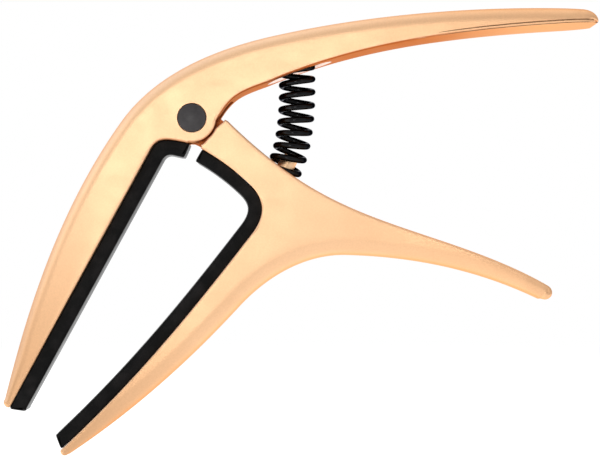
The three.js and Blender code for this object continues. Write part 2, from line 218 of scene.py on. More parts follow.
# applies a modifier-made boolean and drops the cutter
def carve(piece, tool, operation="DIFFERENCE", sharpAngle=32):
    cut = piece.modifiers.new("cut", "BOOLEAN")
    cut.operation = operation
    cut.solver = "MANIFOLD"
    cut.object = tool
    bpy.context.view_layer.update()
    done = bpy.data.meshes.new_from_object(piece.evaluated_get(bpy.context.evaluated_depsgraph_get()))
    piece.modifiers.clear()
    piece.data = done
    done.name = piece.name
    bpy.data.objects.remove(tool)
    finishMesh(done, sharpAngle)
    return piece


# a profile of (radius, y) turned about an axis along y; a zero radius closes it at a pole
def turned(name, profile, steps=96, centre=(0.0, 0.0), sharpAngle=32):
    p = np.array(profile, float)
    a = np.linspace(0, 2 * math.pi, steps, endpoint=False)[None]
    r, y = p[:, :1], p[:, 1:]
    verts = np.stack([centre[0] + r * np.cos(a), y + 0 * a, centre[1] + r * np.sin(a)], -1)
    return makePiece(name, [(verts, gridFaces(len(p), steps, True))], sharpAngle)


# a straight-sided plate from an outline, its two faces each one polygon
def plainPlate(name, outline, half):
    o = np.array(outline, float)
    k = len(o)
    ring = np.stack([np.stack([o[:, 0], np.full(k, y), o[:, 1]], -1) for y in (-half, half)])
    caps = (ring.reshape(-1, 3), np.array([np.arange(k), np.arange(k, 2 * k)]))
    return makePiece(name, [(ring, gridFaces(2, k, True)), caps])


# half an ellipse-like arc that closes the gap between two edges' ends: |cos|^square along the gap and
# |sin|^square outwards by reach; square 1 is round, and 0.4 is a box with soft corners
def endArc(start, end, reach, steps, square=1.0):
    middle, half = (start + end) / 2, (start - end) / 2
    out = np.array([-half[1], half[0]])
    out *= reach / np.linalg.norm(out)
    a = np.linspace(0, math.pi, steps + 1)[:, None]
    return middle + half * np.sign(np.cos(a)) * np.abs(np.cos(a)) ** square + out * np.sin(a) ** square


# flat faces at the front and back: straight rungs between two rows of the band's rim points
def rungFaces(band, rowA, rowB, halfAt, steps):
    blocks = []
    for side, layer in ((-1, 0), (1, -1)):
        rim = band[layer][:, [0, 2]]
        grid = faceGrid(rim[rowA], rim[rowB], halfAt, side, steps)
        blocks.append((grid, gridFaces(grid.shape[0], grid.shape[1])))
    return blocks


# one number per point, from pairs of (how many points, first value, last value)
def ramps(*pairs):
    return np.concatenate([np.linspace(a, b, count + 1)[:-1] for count, a, b in pairs])


# the rounded bar of one thickness: no more than what fits
def barRound(back, inner, wanted, share=0.62, endShare=0.62):
    share = share + (endShare - share) * smooth(back[:, 0], 38, 60)
    return np.minimum(wanted, share * np.linalg.norm(back - inner, axis=1))


# half width at each point: tip to full, then full to paddle, by smooth steps along x, all of it times
# share + (1 - share) sqrt(1 - into^2) where the end is rounded off
def leverHalf(p, w):
    x, full = p[:, 0], leverSizes["half"]
    jaw = w["tip"] + (full - w["tip"]) * smooth(x, *w["narrow"])
    flare = full + (w["paddle"] - full) * smooth(x, *w["flare"])
    into = np.clip((x - w["endFrom"]) / w["endRun"], 0, w["endMost"])
    end = w["endShare"] + (1 - w["endShare"]) * np.sqrt(1 - into ** 2)
    return np.where(x < w["split"], jaw, flare) * end


def upperHalf(p):
    return leverHalf(p, upperWidths)


def lowerHalf(p):
    return leverHalf(p, lowerWidths)


# upper lever: the arm over the strings, the hub with its two cheeks, and the handle

upperSteps = dict(arm=70, corner=22, hub=34, throat=26, handle=110, tip=11, rung=8, crowd=1.5)
# shares of a curve at which the outline starts or changes over from one run of steps to the next
upperShares = dict(arm=0.012, corner=0.3, hub=0.72, back=0.945)
hubArc = dict(radius=4.9, start=-100.2, end=-7)
handleNose = [(81.85, 19.5), (80.9, 21.75)]  # draws the handle's end out to a soft nose, low on its edge
slotSizes = dict(half=3.8, radius=5.7, pinBore=2.06, capSeat=2.9, capFloor=6.0, seatChamfer=0.08)
slotMouth = [(-1.2, -3.0), (-1.2, -14.0), (13.0, -14.0), (13.0, 3.7), (3.6, 3.7), (0.0, 0.0)]
pocketSizes = dict(middle=21.6, reach=1.4, radius=4.3, floor=13.3, chamfer=0.75, cut=0.5, around=25,
                   below=0.5, slack=0.02, wallFrom=0.9, rimFrom=0.12)
grooveSizes = dict(half=2.1, depth=1.6, fretFrom=0.22, fretTo=0.93, neckFrom=0.22, neckTo=0.96)
postSizes = dict(root=1.9, tip=1.6, lowerHeight=4.2, upperHeight=2.4, sunk=0.6, tipRound=0.45)
springSeat = dict(radius=3.95, clear=6.0)  # round recess in the lower lever, square to the spring
springAxis = [(17.8, -11.3), (21.2, -5.4), (21.35, 4.2), (20.9, 13.3)]
tipReach = 0.7  # how far each jaw's end is rounded out
through = 14  # half length of a cutter that goes right through


# a round cutter or boss about the pin's line, between two depths
def pinRound(name, radius, low, high, steps=96):
    return turned(name, [(0, low), (radius, low), (radius, high), (0, high)], steps)


# a profile of (radius, height) turned about the spring's line, at its lower end (t = 0) or its upper end
# (t = 1), with heights measured into the spring
def onSpringEnd(name, t, profile, steps=64):
    axis = curve(springAxis, 400)
    root = axis[0] if t == 0 else axis[-1]
    ahead = axis[1] - axis[0] if t == 0 else axis[-2] - axis[-1]
    ahead = ahead / np.linalg.norm(ahead)
    r, h = np.array(profile, float).T[..., None]
    a = np.linspace(0, 2 * math.pi, steps, endpoint=False)[None]
    flat = root + h[..., None] * ahead + (r * np.cos(a))[..., None] * np.array([ahead[1], -ahead[0]])
    verts = np.stack([flat[..., 0], r * np.sin(a), flat[..., 1]], -1)
    return makePiece(name, [(verts, gridFaces(len(profile), steps, True))])


# post inside an end of the spring: a tapered stub with a rounded tip
def springPost(t):
    s = postSizes
    height = s["lowerHeight"] if t == 0 else s["upperHeight"]
    b = np.linspace(0, math.pi / 2, 7)[:-1]
    e = s["tipRound"]
    tip = [(s["tip"] - e * (1 - math.cos(q)), height - e * (1 - math.sin(q))) for q in b]
    return onSpringEnd("springPost", t, [(0, -s["sunk"]), (s["root"], -s["sunk"])] + tip + [(0, height)])


# the upper lever's underside over the pocket, from the throat on
def underside():
    return chain(curve(throat, 60), curve(handleUnder, 200))


# the pocket is a stadium, arcs of one radius about two centres, pushed up to its floor; its rim flares
# out by the chamfer where it meets the underside
def pocketCutter():
    s = pocketSizes
    under = underside()
    a = np.linspace(-math.pi / 2, math.pi / 2, s["around"])
    side = np.repeat([s["reach"], -s["reach"]], s["around"])
    ang = np.concatenate([a, a + math.pi])
    level = [(-s["below"], s["chamfer"] * (1 + s["below"] / s["cut"])), (s["cut"], 0.0)]
    rings = []
    for lift, grow in level:
        x = s["middle"] + side + (s["radius"] + grow) * np.cos(ang)
        z = np.interp(x, under[:, 0], under[:, 1]) + lift
        rings.append(np.stack([x, (s["radius"] + grow) * np.sin(ang), z], -1))
    top = rings[1].copy()
    top[:, 2] = s["floor"]
    rings.append(top)
    k = len(ang)
    caps = np.array([np.arange(k), np.arange(2 * k, 3 * k)])
    grid = np.stack(rings)
    return makePiece("pocketCutter", [(grid, gridFaces(3, k, True)), (grid, caps)])


# a straight-sided strip beside a path, between two distances to the right of it
def stripOutline(path, near, far):
    return np.concatenate([beside(path, near), beside(path, far)[::-1]])


# the handle's end, a curve from its underside over the nose to its back
def handleTip():
    back = curve(handleBack, 1, 0, upperShares["back"])[-1]
    return curve([handleUnder[-1]] + handleNose + [back], 2 * upperSteps["tip"])


# two fine lines scored along each of the handle's lower edges and round its nose, with a narrow lip
# between them. Each is (mm below the edge, mm beyond the wall, 1 if it eases in from below or 0 if it
# eases in from the side); shares run from 0 to 1 along the underside and on to noseShare round the nose
edgeLine = dict(start=0.46, full=0.66, leave=0.97, fade=1.06, noseShare=1.1, nosePoints=10, radius=0.11,
                clear=1.4, wallAt=0.35, sides=10, reach=1.06, lines=((-0.11, -0.11, 1), (-0.68, 0.0, 0)))


# middle of a scored line and the way out of the edge: the edge's path, moved below it and beyond the
# wall, and held clear of the metal by clear times the radius where the line starts and ends
def edgePath(line, side, steps=100):
    s = edgeLine
    below, beyond, fromBelow = line
    nose = handleTip()[:s["nosePoints"]]
    path = chain(curve(handleUnder, steps, s["start"]), nose)
    share = np.concatenate([np.linspace(s["start"], 1.0, steps + 1),
                            np.linspace(1.0, s["noseShare"], len(nose))[1:]])
    out = rightOf(heading(path))
    starts, ends = smooth(share, s["start"], s["full"]), smooth(share, s["leave"], s["fade"])
    away = s["clear"] * s["radius"] * (1 - starts + ends)
    low = below + fromBelow * away
    half = upperHalf(path - s["wallAt"] * out) + beyond + (1 - fromBelow) * away
    return np.stack([path[:, 0] + low * out[:, 0], side * half, path[:, 1] + low * out[:, 1]], 1), out


# a round cutter carried along a scored line
def edgeCutter(line, side):
    s = edgeLine
    centre, out = edgePath(line, side)
    outward3 = np.stack([out[:, 0], 0 * out[:, 0], out[:, 1]], 1)
    ring = centre[:, None] + s["radius"] * ringsAcross(heading(centre), outward3, s["sides"])
    k = len(centre) * s["sides"]
    caps = np.array([np.arange(s["sides"]), np.arange(k - s["sides"], k)])
    return makePiece("edgeLine", [(ring, gridFaces(len(centre), s["sides"], True)), (ring, caps)])


# the band's outline runs along the inner side to the handle's end and back along the outer side; the
# two sides have the same number of points, so the flat faces are rungs between them
def upperLever():
    k, s, q = upperSteps, leverSizes, upperShares
    back = chain(curve(armBack, k["arm"], q["arm"]), curve(shoulderBack, k["corner"], 0, q["corner"]),
                 curve(shoulderBack, k["hub"], q["corner"], q["hub"]),
                 curve(shoulderBack, k["throat"], q["hub"]),
                 curve(handleBack, k["handle"], 0, q["back"], k["crowd"]))
    inner = chain(curve(fretSeat, k["arm"], q["arm"]), curve(seatCorner, k["corner"]),
                  arc(hubArc["radius"], hubArc["start"], hubArc["end"], k["hub"]),
                  curve(throat, k["throat"]), curve(handleUnder, k["handle"], 0, 1.0, k["crowd"]))
    armTip = endArc(back[0], inner[0], tipReach, 2 * k["tip"])
    loop = np.concatenate([inner[:-1], handleTip()[:-1], back[:0:-1], armTip[:-1]])
    big = barRound(back, inner, s["upperRound"], 0.62, 0.84)
    small = barRound(back, inner, s["innerRound"], 0.15, 0.12)
    m, t = len(back), k["tip"]
    radius = np.concatenate([small[:-1], ramps((2 * t, small[-1], big[-1])), big[:0:-1],
                             ramps((2 * t, big[0], small[0]))])
    under = s["belly"] * smooth(inner[:-1, 0], 34, 52) * (1 - smooth(inner[:-1, 0], 70, 80))
    bulge = np.concatenate([under, np.zeros(2 * t), np.full(m - 1, s["crown"]), np.zeros(2 * t)])
    band = edgeBand(loop, radius, upperHalf, bulge)
    rowInner = np.arange(-t, m + t) % len(loop)
    rowBack = (-t - np.arange(m + 2 * t)) % len(loop)
    blocks = [(band, gridFaces(band.shape[0], band.shape[1], True))]
    blocks += rungFaces(band, rowInner, rowBack, upperHalf, k["rung"])
    lever = makePiece("upperLever", blocks)
    h = slotSizes
    carve(lever, pinRound("slotDisc", h["radius"], -h["half"], h["half"]))
    carve(lever, plainPlate("slotMouth", slotMouth, h["half"]))
    carve(lever, pinRound("pinBore", h["pinBore"], -through, through))
    seatRadius, over = h["capSeat"], s["half"] + 1.0
    seat = [(0, h["capFloor"]), (seatRadius, h["capFloor"]), (seatRadius, s["half"] - h["seatChamfer"]),
            (seatRadius + h["seatChamfer"] + 1.0, over), (0, over)]
    for side in (-1, 1):
        carve(lever, turned("capSeat", [(r, side * y) for r, y in seat]))
    carve(lever, pocketCutter())
    for side in (-1, 1):
        for line in edgeLine["lines"]:
            carve(lever, edgeCutter(line, side))
    carve(lever, springPost(1), "UNION")
    g = grooveSizes
    groove = stripOutline(curve(fretSeat, 1, g["fretFrom"], g["fretTo"]), -g["depth"], 1.0)
    carve(lever, plainPlate("fretGroove", groove, g["half"]))
    return lever


# lower lever: the jaw behind the neck, the block that carries the tongue, and the lower handle

lowerSteps = dict(jaw=80, crotch=24, bridge=14, link=24, shoulder=36, handle=96, tip=9, rung=8,
                  crowd=1.4)
# shares of a curve at which the outline starts, ends or changes over: bridge is how far along the
# shoulder's top the neck block reaches, and top how much of the neck's top lies opposite the shoulder
lowerShares = dict(jaw=0.006, crotch=0.6, bridge=0.72, top=0.4, handle=0.975)
tongueSizes = dict(half=3.0, radius=4.6, bushBore=2.96)
tongueNeck = [(-0.9, -4.5), (2.2, -5.9), (9.0, -7.0), (8.0, -2.0), (4.5, 0.9)]

# the neck block's hollow beside the hub: its radius eases in from the pad's end, runs at an even gap
# and opens out along the throat, so that it clears the hub through the whole squeeze
hollowSizes = dict(run=5.2, startRise=0.45, endRise=1.5, startAngle=-71.0, evenFrom=-48, endAngle=-3.3,
                   opensFrom=-26.0, opensBy=1.6)


def hubHollow(steps):
    h = hollowSizes
    a = np.linspace(h["startAngle"], h["endAngle"], steps)
    opening = np.clip((a - h["opensFrom"]) / (h["endAngle"] - h["opensFrom"]), 0, 1) ** h["opensBy"]
    easing = 1 - smooth(a, h["startAngle"], h["evenFrom"])
    r = h["run"] + h["startRise"] * easing + h["endRise"] * opening
    a = np.radians(a)
    return np.concatenate([[neckTop[-1]], np.stack([r * np.cos(a), r * np.sin(a)], 1)])


# the flat faces are rungs from the back to the jaw's seat, then to a straight line across the neck block,
# then to the handle's top; the block's own faces are rungs from that line and the hub's hollow to the pad
def lowerLever():
    k, s, q = lowerSteps, leverSizes, lowerShares
    back = chain(curve(jawBack, k["jaw"], q["jaw"]), curve(crotch, k["crotch"], 0, q["crotch"]),
                 curve(crotch, k["bridge"], q["crotch"]),
                 curve(lowerUnder, k["handle"], 0, q["handle"], k["crowd"]))
    hollow = hubHollow(k["link"])
    shoulder = curve(shoulderTop, k["shoulder"], 0, q["bridge"])[1:]
    inner = chain(curve(neckSeat, k["jaw"], q["jaw"]), curve(neckCorner, k["crotch"]),
                  curve(neckTop, k["shoulder"], 0, q["top"]), curve(neckTop, k["link"], q["top"]), hollow,
                  np.concatenate([hollow[-1:], shoulder]), curve(shoulderTop, k["bridge"], q["bridge"]),
                  curve(lowerTop, k["handle"], 0, q["handle"], k["crowd"]))
    m, n, t = len(back), len(inner), k["tip"]
    lowerTip = endArc(back[-1], inner[-1], 1.6, 2 * t)
    jawTip = endArc(inner[0], back[0], tipReach, 2 * t)
    loop = np.concatenate([back[:-1], lowerTip[:-1], inner[:0:-1], jawTip[:-1]])
    far = np.concatenate([inner[:k["jaw"]], np.repeat(inner[k["jaw"]:k["jaw"] + 1], k["crotch"], 0),
                          inner[-k["bridge"] - k["handle"] - 1:]])
    big = barRound(back, far, s["lowerRound"])
    small = np.full(n, s["innerRound"])
    small[-k["handle"]:] = barRound(back, far, s["innerRound"], 0.15)[-k["handle"]:]
    radius = np.concatenate([big[:-1], ramps((2 * t, big[-1], small[-1])), small[:0:-1],
                             ramps((2 * t, small[0], big[0]))])
    bulge = np.concatenate([np.full(m - 1, s["crown"]), np.zeros(len(loop) - m + 1)])
    band = edgeBand(loop, radius, lowerHalf, bulge)
    size = len(loop)
    jawCount = k["jaw"] + t + 1
    rowBack = np.arange(-t, m + t) % size
    rowInner = (-t - np.arange(n + 2 * t)) % size
    bridgeAt = n - 1 - k["handle"] - k["bridge"]  # where the inner outline comes back beside the bar
    blocks = [(band, gridFaces(band.shape[0], band.shape[1], True))]
    blocks += rungFaces(band, rowBack[:jawCount], rowInner[:jawCount], lowerHalf, k["rung"])
    start = jawCount - 1 + k["crotch"]
    blocks += rungFaces(band, rowBack[start:], rowInner[t + bridgeAt:], lowerHalf, k["rung"])
    for side, layer in ((-1, 0), (1, -1)):
        rim = band[layer][:, [0, 2]]
        w = np.linspace(0, 1, k["crotch"] + 1)[:, None]
        line = rim[rowInner[t + k["jaw"]]] * (1 - w) + rim[rowInner[t + bridgeAt]] * w
        grid = faceGrid(rim[rowBack[jawCount - 1:start + 1]], line, lowerHalf, side, k["rung"])
        blocks.append((grid, gridFaces(grid.shape[0], grid.shape[1])))
        toBlock = t + k["jaw"]
        across = k["crotch"] + k["shoulder"] + k["link"]
        nearPad = rim[rowInner[toBlock:toBlock + across + 1]]
        around = rim[rowInner[t + bridgeAt:toBlock + across - 1:-1]]
        grid = faceGrid(nearPad, chain(line, around), lowerHalf, side, k["rung"])
        blocks.append((grid, gridFaces(grid.shape[0], grid.shape[1])))
    lever = makePiece("lowerLever", blocks)
    h = tongueSizes
    carve(lever, pinRound("tongueDisc", h["radius"], -h["half"], h["half"]), "UNION")
    carve(lever, plainPlate("tongueNeck", tongueNeck, h["half"]), "UNION")
    carve(lever, pinRound("bushBore", h["bushBore"], -through, through))
    g = grooveSizes
    groove = stripOutline(curve(neckSeat, 30, g["neckTo"], g["neckFrom"]), -g["depth"], 1.0)
    carve(lever, plainPlate("neckGroove", groove, g["half"]))
    r, clear = springSeat["radius"], springSeat["clear"]
    carve(lever, onSpringEnd("springSeat", 0, [(0, 0), (r, 0), (r, clear), (0, clear)]))
    carve(lever, springPost(0), "UNION")
    return lever


upper = upperLever()
print("upper lever", len(upper.data.polygons))
lower = lowerLever()
print("lower lever", len(lower.data.polygons))


# pads: solid moulded rubber, each a rounded plate along its seat with a rib that fills the lever's groove

padSizes = dict(gap=0.03, fret=3.0, neck=2.8, half=4.6, faceRound=0.75, seatRound=0.2, crown=0.16,
                ribHalf=1.8, ribDepth=1.3, ribFret=(0.23, 0.92), ribNeck=(0.235, 0.945), start=0.012,
                endSquare=0.42, endReach=-0.45, bend=1.5, bendPull=0.5, short=1.1, slide=1.6, settled=8.0)
padSteps = dict(fretLine=110, fretCorner=30, neckLine=120, neckCorner=34, neckTop=26, end=12, rung=5)


def padHalf(p):
    return np.full(len(p), padSizes["half"])


# seat is the pad's side on the lever and face its working side, point for point, with the pad's inside
# on the right of the way they run
def padPiece(name, seat, face, ribPath):
    s, k = padSizes, padSteps
    t = k["end"]
    farEnd = endArc(seat[-1], face[-1], s["endReach"], 2 * t, s["endSquare"])
    nearEnd = endArc(face[0], seat[0], s["endReach"], 2 * t, s["endSquare"])
    loop = np.concatenate([seat[:-1], farEnd[:-1], face[:0:-1], nearEnd[:-1]])[::-1]
    m, size = len(seat), len(seat) * 2 + 4 * t - 2
    small, big = s["seatRound"], s["faceRound"]
    radius = np.concatenate([np.full(m - 1, small), ramps((2 * t, small, big)), np.full(m - 1, big),
                             ramps((2 * t, big, small))])[::-1]
    bulge = np.concatenate([np.zeros(m - 1 + 2 * t), np.full(m - 1, s["crown"]), np.zeros(2 * t)])[::-1]
    band = edgeBand(loop, radius, padHalf, bulge)
    last = size - 1
    rowSeat = (last - np.arange(-t, m + t)) % size
    rowFace = (last + t + np.arange(m + 2 * t)) % size
    blocks = [(band, gridFaces(band.shape[0], band.shape[1], True))]
    blocks += rungFaces(band, rowSeat, rowFace, padHalf, k["rung"])
    pad = makePiece(name, blocks, 40)
    rib = plainPlate(name + "Rib", stripOutline(ribPath, -s["ribDepth"], 1.0), s["ribHalf"])
    return carve(pad, rib, "UNION", 40)


# the fret pad runs straight down the arm and turns a corner under the hub; its face is two straight
# runs joined by a small curve
def fretPad():
    s, k = padSizes, padSteps
    line = curve(fretSeat, k["fretLine"], s["start"])
    seat = beside(chain(line, curve(seatCorner, k["fretCorner"])), s["gap"])
    down = beside(line, s["fret"])
    under = beside(curve(seatCorner, 60, 0.6, 0.95), s["fret"])
    d = (down[-1] - down[0]) / np.linalg.norm(down[-1] - down[0])
    e = (under[-1] - under[-6]) / np.linalg.norm(under[-1] - under[-6])
    gapAt = np.linalg.solve(np.stack([d, -e], 1), under[-1] - down[0])
    corner = down[0] + gapAt[0] * d
    turnIn, turnOut = corner - s["bend"] * d, corner + s["bend"] * e
    bend = [turnIn, corner - s["bendPull"] * d, corner + s["bendPull"] * e, turnOut]
    start = down[0] + s["short"] * d
    w = np.linspace(0, 1, k["fretLine"] - 9)[:, None]
    v = np.linspace(0, 1, k["fretCorner"] - 9)[:, None]
    face = chain(start * (1 - w) + turnIn * w, curve(bend, 20), turnOut * (1 - v) + under[-1] * v)
    g = s["ribFret"]
    return padPiece("fretPad", seat, face[:len(seat)], curve(fretSeat, 1, g[0], g[1]))


# the neck pad follows its seat; near the tip its face is slid along itself, so that the end is slanted
def neckPad():
    s, k = padSizes, padSteps
    path = chain(curve(neckSeat, k["neckLine"], s["start"]), curve(neckCorner, k["neckCorner"]),
                 curve(neckTop, k["neckTop"], 0, 0.95))[::-1]
    seat, face = beside(path, s["gap"]), beside(path, s["neck"])
    steps = np.linalg.norm(np.diff(face[::-1], axis=0), axis=1).cumsum()
    keep = np.interp(steps, [0, s["short"], s["settled"]], [s["short"], s["slide"], s["settled"]])
    whole = np.concatenate([[0.0], steps])
    at = np.concatenate([[s["short"]], np.maximum(keep, steps)])
    slid = np.stack([np.interp(at, whole, face[::-1][:, i]) for i in (0, 1)], 1)
    g = s["ribNeck"]
    return padPiece("neckPad", seat, slid[::-1], curve(neckSeat, 30, g[0], g[1])[::-1])


fret = fretPad()
neck = neckPad()
print("pads", len(fret.data.polygons), len(neck.data.polygons))


# hinge: a plain pin in a bronze bush, nylon washers against the cheeks, and a cap pressed in at each end

hingeSizes = dict(pin=2.0, pinHalf=6.0, bushIn=2.06, bushOut=2.9, bushHalf=3.0, washerIn=2.1,
                  washerOut=4.3, washerMiddle=3.4, washerHalf=0.25, washerEase=0.08, cap=2.84,
                  capInside=6.1, capRim=7.25, capDome=0.55, capRound=0.22, capEase=0.15, ease=0.12,
                  markRadius=0.4, markDepth=0.35)


# half section of a ring with both rims eased, closed on itself
def ringProfile(inner, outer, low, high, ease):
    return [(inner, low + ease), (inner + ease, low), (outer - ease, low), (outer, low + ease),
            (outer, high - ease), (outer - ease, high), (inner + ease, high), (inner, high - ease),
            (inner, low + ease)]


# pin with eased ends, and a shallow centre mark left by the lathe in each
def hingePin():
    s = hingeSizes
    h, r, e = s["pinHalf"], s["pin"], s["ease"]
    half = [(0, h - s["markDepth"]), (s["markRadius"], h), (r - e, h), (r, h - e)]
    return turned("hingePin", half + [(q, -y) for q, y in half[::-1]])


def hingeBush():
    s = hingeSizes
    h = s["bushHalf"]
    return turned("hingeBush", ringProfile(s["bushIn"], s["bushOut"], -h, h, s["ease"]))


def thrustWasher(side):
    s = hingeSizes
    middle, half = side * s["washerMiddle"], s["washerHalf"]
    name = "thrustWasherFront" if side < 0 else "thrustWasherRear"
    return turned(name, ringProfile(s["washerIn"], s["washerOut"], middle - half, middle + half,
                                    s["washerEase"]))


# cap: a small rounded rim, then a dome of height capDome (1 - (r / edge)^2)
def pinCap(side):
    s = hingeSizes
    r, top, inside, e = s["cap"], s["capRim"], s["capInside"], s["capEase"]
    b = np.linspace(0, math.pi / 2, 7)
    edge = r - s["capRound"]
    low = top - s["capRound"]
    rim = [(edge + s["capRound"] * math.cos(a), low + s["capRound"] * math.sin(a)) for a in b]
    dome = [(edge * a, top + s["capDome"] * (1 - a * a)) for a in np.linspace(1, 0, 16)[1:]]
    profile = [(0, inside), (r - e, inside), (r, inside + e)] + rim + dome
    name = "pinCapFront" if side < 0 else "pinCapRear"
    return turned(name, [(a, side * y) for a, y in profile], 128)


hinge = dict(pin=hingePin(), bush=hingeBush(), washerFront=thrustWasher(-1), washerRear=thrustWasher(1),
             capFront=pinCap(-1), capRear=pinCap(1))
print("hinge pieces", len(hinge))


# return spring: a round wire wound about the bent centre line, R cos(turn) across it and R sin(turn)
# deep, evenly spaced but for the top end, which closes up as t^10; its cut ends are eased over a few rings

springSizes = dict(mean=3.12, wire=0.63, turns=9.35, gap=0.25, phase=-1.9, closing=0.05, perTurn=72,
                   round=18, endRings=5, endDepth=0.35, endShift=0.2)


def returnSpring():
    s = springSizes
    axis = curve(springAxis, 2000)
    run = np.concatenate([[0.0], np.linalg.norm(np.diff(axis, axis=0), axis=1).cumsum()])
    share = (s["wire"] + s["gap"]) / run[-1]
    t = np.linspace(0, 1, round(s["turns"] * s["perTurn"]) + 1)
    at = (share + (1 - 2 * share) * ((1 + s["closing"]) * t - s["closing"] * t ** 10)) * run[-1]
    centre = np.stack([np.interp(at, run, axis[:, i]) for i in (0, 1)], 1)
    right = rightOf(heading(centre))
    turn = s["phase"] + 2 * math.pi * s["turns"] * t
    out = np.stack([np.cos(turn) * right[:, 0], np.sin(turn), np.cos(turn) * right[:, 1]], 1)
    wire = np.stack([centre[:, 0], 0 * t, centre[:, 1]], 1) + s["mean"] * out
    way = heading(wire)
    rings, middle = s["endRings"], len(t) - 2
    b = np.linspace(0, math.pi / 2, rings + 1)[:-1]
    size = np.concatenate([np.sin(b), np.ones(middle), np.sin(b)[::-1]])
    ease = s["endDepth"] * s["wire"] * np.cos(b) - s["endShift"]
    pick = np.concatenate([np.zeros(rings, int), np.arange(1, middle + 1), np.full(rings, middle + 1)])
    slide = np.concatenate([-ease, np.zeros(middle), ease[::-1]])
    ring = s["wire"] * size[:, None, None] * ringsAcross(way, out, s["round"])[pick]
    verts = (wire[pick] + slide[:, None] * way[pick])[:, None] + ring
    return makePiece("returnSpring", [(verts, gridFaces(len(pick), s["round"], True))], 60, 1e-7)


spring = returnSpring()
print("spring", len(spring.data.polygons))


# materials: every one is worked out from the piece's own place (Object coordinates, in metres)

# adds a node; each input is either another node's output, which is linked, or a fixed value
def node(tree, kind, inputs=None, **settings):
    made = tree.nodes.new("ShaderNode" + kind)
    for key, value in settings.items():
        setattr(made, key, value)
    for key, value in (inputs or {}).items():
        if isinstance(value, bpy.types.NodeSocket):
            tree.links.new(value, made.inputs[key])
        else:
            made.inputs[key].default_value = value
    return made


def newMaterial(name, **fixed):
    material = bpy.data.materials.new(name)
    material.use_nodes = True
    tree = material.node_tree
    shader = tree.nodes["Principled BSDF"]
    for key, value in fixed.items():
        shader.inputs[key.replace("_", " ")].default_value = value
    place = node(tree, "TexCoord").outputs["Object"]
    return material, tree, shader, place


def noise(tree, place, scale, detail=2.0, rough=0.5, stretch=None):
    if stretch is not None:
        place = node(tree, "Mapping", {"Vector": place, "Scale": stretch}).outputs[0]
    return node(tree, "TexNoise", {"Vector": place, "Scale": scale, "Detail": detail,
                                   "Roughness": rough}).outputs["Fac"]


# value carried from one range to another, held at the ends
def ranged(tree, value, low, high, toLow, toHigh, kind="LINEAR"):
    return node(tree, "MapRange", {"Value": value, "From Min": low, "From Max": high, "To Min": toLow,
                                   "To Max": toHigh}, interpolation_type=kind).outputs[0]


def mixed(tree, share, a, b, kind="MIX"):
    made = node(tree, "Mix", data_type="RGBA", blend_type=kind)
    for socket, value in ((made.inputs[0], share), (made.inputs[6], a), (made.inputs[7], b)):
        if isinstance(value, bpy.types.NodeSocket):
            tree.links.new(value, socket)
        else:
            socket.default_value = value
    return made.outputs[2]


def maths(tree, kind, a, b):
    return node(tree, "Math", {0: a, 1: b}, operation=kind).outputs[0]


def drive(tree, shader, socket, value):
    tree.links.new(value, shader.inputs[socket])


# cloudy colour between two tones; with rough, the roughness runs between its two values along with it
def clouded(tree, shader, place, scale, toneA, toneB, rough=None):
    tone = ranged(tree, noise(tree, place, scale, 4.0, 0.6), 0.35, 0.7, 0.0, 1.0)
    drive(tree, shader, "Base Color", mixed(tree, tone, toneA, toneB))
    if rough is not None:
        drive(tree, shader, "Roughness", ranged(tree, tone, 0.0, 1.0, *rough))


# roughness in patches of its own
def patchyRough(tree, place, scale, rough):
    return ranged(tree, noise(tree, place, scale, 3.0, 0.5), 0.3, 0.7, *rough)


# the place about the pin, its three coordinates, and the distance from the pin's line, |(x, 0, z)|
def aboutPin(tree, place):
    centred = node(tree, "VectorMath", {0: place, 1: tuple(pin)}, operation="SUBTRACT").outputs[0]
    flat = node(tree, "VectorMath", {0: centred, 1: (1, 0, 1)}, operation="MULTIPLY").outputs[0]
    away = node(tree, "VectorMath", {0: flat}, operation="LENGTH").outputs["Value"]
    return centred, node(tree, "SeparateXYZ", {0: centred}).outputs, away


# stacked bumps: (height, strength, distance in metres)
def bumps(tree, shader, *layers):
    normal = None
    for height, strength, distance in layers:
        inputs = {"Height": height, "Strength": strength, "Distance": distance}
        if normal is not None:
            inputs["Normal"] = normal
        normal = node(tree, "Bump", inputs).outputs[0]
    tree.links.new(normal, shader.inputs["Normal"])


# satin anodising: fine blasted grain under a thin gold dye, with painted light in the colour: a painted
# highlight makes it paler round the hinge, and painted shade makes it peachier towards the far ends.
# Painted shade darkens it under the upper handle, in the hinge's slot and gap and down the jaws, a
# painted highlight lightens the faces that point up and to the left, and the dye is worn thin along the
# edges. Distances are in metres from the pin
# pale to peach is a painted highlight fading into painted shade; the under-handle, slot and jaw colours are
# painted shade, and the colour for the up-and-left faces is a painted highlight
anodiseLook = dict(pale=(0.93, 0.60, 0.355, 1), peach=(0.90, 0.535, 0.295, 1), nearHinge=0.018,
                   farFromHinge=0.075, deep=(0.53, 0.150, 0.045, 1), deepWithin=(0.044, 0.074),
                   deepNormal=(-0.10, -0.50), deepHeight=(-0.007, -0.001), slot=(0.42, 0.12, 0.035, 1),
                   slotDepth=(0.0038, 0.0040), slotReach=(0.010, 0.012), gapNormal=(0.3, 0.75),
                   gapShare=0.8, gapReach=(0.0070, 0.0080), jawShade=(0.70, 0.41, 0.22, 1),
                   jawWay=(-0.55, 0, -0.83), jawRange=(0.030, 0.075), backHighlight=(0.95, 0.70, 0.52, 1),
                   highlightWay=(-0.6, 0, 0.8), highlightNormal=(0.25, 0.85), highlightShare=0.6,
                   highlightAcross=(0.015, 0.060), worn=(0.93, 0.72, 0.50, 1), rough=(0.40, 0.48),
                   grain=5200.0, cloud=45.0)


